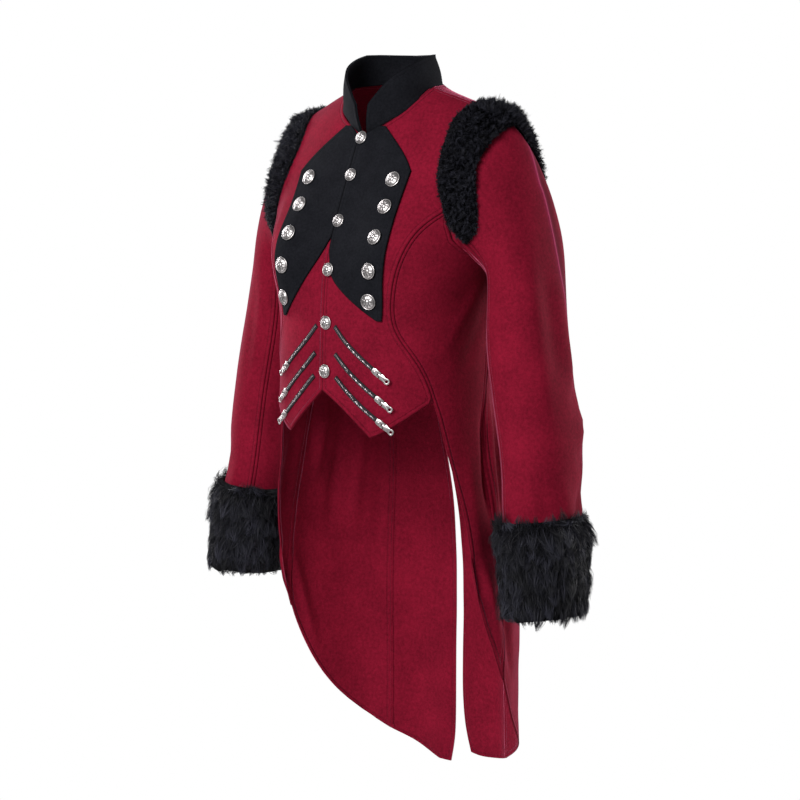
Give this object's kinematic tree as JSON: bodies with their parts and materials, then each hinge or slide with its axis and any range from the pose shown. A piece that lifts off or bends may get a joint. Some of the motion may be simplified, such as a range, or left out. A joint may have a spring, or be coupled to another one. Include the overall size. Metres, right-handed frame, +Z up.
{
  "type": "tailcoat",
  "caption": "Cropped double-breasted tailcoat as worn: pointed front hem, long open tails, stand collar, plastrons, fur at armholes and cuffs, slanting zips.",
  "frame": {"origin": "on the middle plane, at the height where the shoulder seams meet the collar, on the upright through the neck", "axes": "+Z up, the front of the coat faces -Y, +X is the wearer's left"},
  "size_m": [0.6155, 0.2749, 0.9465],
  "materials": {
    "red_wool": "deep crimson wool with a short brushed nap",
    "black_felt": "matt blue-black felted wool",
    "black_fur": "black pile fur",
    "button_metal": "aged silver plate",
    "zip_metal": "dark gunmetal",
    "slider_metal": "polished nickel"
  },
  "bodies": {
    "coat": {"front_left": "red_wool", "front_right": "red_wool", "side_left": "red_wool", "side_right": "red_wool", "side_back_left": "red_wool", "side_back_right": "red_wool", "back_left": "red_wool", "back_right": "red_wool", "sleeve_top_left": "red_wool", "sleeve_top_right": "red_wool", "sleeve_under_left": "red_wool", "sleeve_under_right": "red_wool", "collar_left": "black_felt", "collar_right": "black_felt", "plastron_left": "black_felt", "plastron_right": "black_felt", "fur_armhole_left": "black_fur", "fur_armhole_right": "black_fur", "fur_cuff_left": "black_fur", "fur_cuff_right": "black_fur", "button_plastron_left_1": "button_metal", "button_plastron_left_2": "button_metal", "button_plastron_left_3": "button_metal", "button_plastron_left_4": "button_metal", "button_plastron_left_5": "button_metal", "button_plastron_right_1": "button_metal", "button_plastron_right_2": "button_metal", "button_plastron_right_3": "button_metal", "button_plastron_right_4": "button_metal", "button_plastron_right_5": "button_metal", "button_front_1": "button_metal", "button_front_2": "button_metal", "button_front_3": "button_metal", "button_front_4": "button_metal", "button_front_5": "button_metal", "button_front_6": "button_metal", "zip_upper_left": "zip_metal", "zip_upper_right": "zip_metal", "zip_middle_left": "zip_metal", "zip_middle_right": "zip_metal", "zip_lower_left": "zip_metal", "zip_lower_right": "zip_metal", "slider_upper_left": "slider_metal", "slider_upper_right": "slider_metal", "slider_middle_left": "slider_metal", "slider_middle_right": "slider_metal", "slider_lower_left": "slider_metal", "slider_lower_right": "slider_metal"},
    "pull_upper_left": {"tab_upper_left": "slider_metal"},
    "pull_upper_right": {"tab_upper_right": "slider_metal"},
    "pull_middle_left": {"tab_middle_left": "slider_metal"},
    "pull_middle_right": {"tab_middle_right": "slider_metal"},
    "pull_lower_left": {"tab_lower_left": "slider_metal"},
    "pull_lower_right": {"tab_lower_right": "slider_metal"}
  },
  "joints": [
    {"name": "lift_upper_left", "type": "hinge", "parent": "coat", "child": "pull_upper_left", "pos_m": [0.07851, -0.10516, -0.35651], "axis": [-0.575, -0.2309, -0.7849], "range_deg": [0, 110]},
    {"name": "lift_upper_right", "type": "hinge", "parent": "coat", "child": "pull_upper_right", "pos_m": [-0.07851, -0.10516, -0.35651], "axis": [-0.575, 0.2309, 0.7849], "range_deg": [0, 110]},
    {"name": "lift_middle_left", "type": "hinge", "parent": "coat", "child": "pull_middle_left", "pos_m": [0.08201, -0.10374, -0.39146], "axis": [-0.5624, -0.2462, -0.7893], "range_deg": [0, 110]},
    {"name": "lift_middle_right", "type": "hinge", "parent": "coat", "child": "pull_middle_right", "pos_m": [-0.08201, -0.10374, -0.39146], "axis": [-0.5624, 0.2462, 0.7893], "range_deg": [0, 110]},
    {"name": "lift_lower_left", "type": "hinge", "parent": "coat", "child": "pull_lower_left", "pos_m": [0.08362, -0.1037, -0.41982], "axis": [-0.5479, -0.2529, -0.7974], "range_deg": [0, 110]},
    {"name": "lift_lower_right", "type": "hinge", "parent": "coat", "child": "pull_lower_right", "pos_m": [-0.08362, -0.1037, -0.41982], "axis": [-0.5479, 0.2529, 0.7974], "range_deg": [0, 110]}
  ]
}
